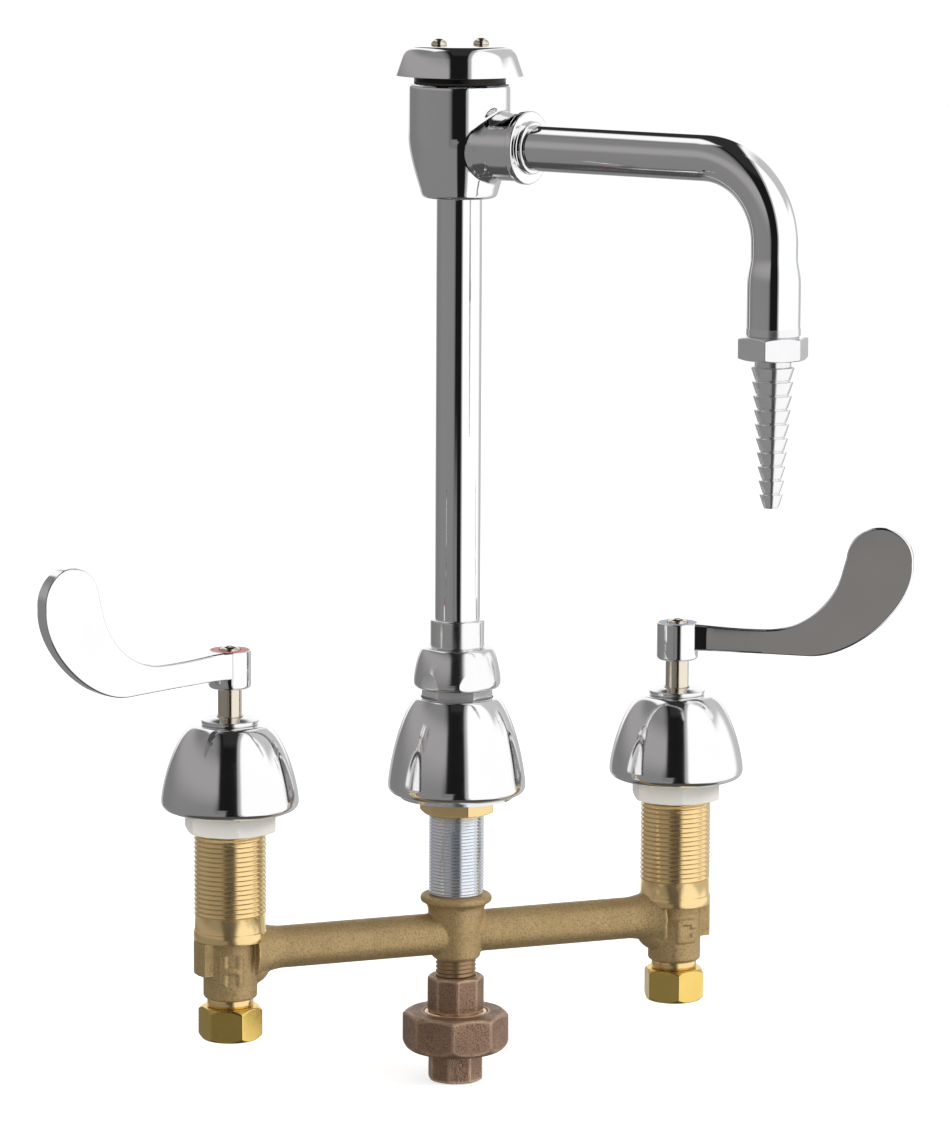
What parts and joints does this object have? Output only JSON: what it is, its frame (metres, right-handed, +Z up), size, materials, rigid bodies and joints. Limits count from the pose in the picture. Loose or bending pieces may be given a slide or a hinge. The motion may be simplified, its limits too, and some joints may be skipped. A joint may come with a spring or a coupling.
{
  "type": "deck-mounted laboratory mixing faucet",
  "caption": "Concealed-body laboratory faucet with wrist-blade handles, a swing riser with vacuum breaker, a bent spout and a serrated hose nozzle.",
  "frame": {"origin": "on the riser's axis, in the deck plane that the three bells stand on", "axes": "+X along the valve line toward the cold side, +Y away from the user, +Z up"},
  "size_m": [0.387, 0.1685, 0.443],
  "materials": {
    "cast_brass": "sand-cast, matte",
    "turned_brass": "machined",
    "bronze": "sand-cast, reddish, rough",
    "zinc": "zinc plated",
    "chrome": "polished chrome plate",
    "satin_chrome": "satin chrome plate",
    "nylon": "moulded nylon",
    "ceramic": "lapped",
    "rubber": "smooth",
    "hot_index": "moulded",
    "cold_index": "moulded"
  },
  "bodies": {
    "base": {"valve_body": "cast_brass", "hot_locknut": "nylon", "hot_bell": "chrome", "hot_cap_nut": "chrome", "hot_cartridge": "turned_brass", "hot_fixed_disc": "ceramic", "hot_seat_gasket": "rubber", "hot_inlet_nut": "turned_brass", "hot_ferrule": "turned_brass", "cold_locknut": "nylon", "cold_bell": "chrome", "cold_cap_nut": "chrome", "cold_cartridge": "turned_brass", "cold_fixed_disc": "ceramic", "cold_seat_gasket": "rubber", "cold_inlet_nut": "turned_brass", "cold_ferrule": "turned_brass", "centre_nipple": "zinc", "centre_locknut": "turned_brass", "centre_washer": "zinc", "centre_bell": "chrome", "swivel_adapter": "chrome", "swivel_oring": "rubber", "swivel_washer": "nylon", "coupling_nut": "chrome", "close_nipple": "turned_brass", "union_tailpiece": "bronze", "union_nut": "bronze", "union_end": "bronze"},
    "spout": {"riser_collar": "chrome", "riser_pipe": "chrome", "vacuum_breaker_body": "chrome", "vacuum_breaker_bonnet": "turned_brass", "bonnet_gasket": "rubber", "vacuum_breaker_cap": "chrome", "cap_screws": "chrome", "arm_collar": "chrome", "spout_tube": "chrome", "outlet_fitting": "satin_chrome", "nozzle_gasket": "rubber", "hose_nozzle": "satin_chrome"},
    "float": {"vacuum_breaker_float": "nylon"},
    "hot_lever": {"hot_stem": "turned_brass", "hot_stem_oring": "rubber", "hot_rotating_disc": "ceramic", "hot_handle": "chrome", "hot_index_ring": "hot_index", "hot_handle_screw": "chrome"},
    "cold_lever": {"cold_stem": "turned_brass", "cold_stem_oring": "rubber", "cold_rotating_disc": "ceramic", "cold_handle": "chrome", "cold_index_ring": "cold_index", "cold_handle_screw": "chrome"}
  },
  "joints": [
    {"name": "hot_turn", "type": "hinge", "parent": "base", "child": "hot_lever", "pos_m": [-0.1016, 0, 0.06], "axis": [0, 0, 1], "range_deg": [0, 90]},
    {"name": "cold_turn", "type": "hinge", "parent": "base", "child": "cold_lever", "pos_m": [0.1016, 0, 0.06], "axis": [0, 0, 1], "range_deg": [-90, 0]},
    {"name": "spout_swing", "type": "hinge", "parent": "base", "child": "spout", "pos_m": [0, 0, 0.05], "axis": [0, 0, 1], "continuous": true},
    {"name": "float_lift", "type": "slide", "parent": "spout", "child": "float", "axis": [0, 0, 1], "range_m": [0, 0.003]}
  ]
}
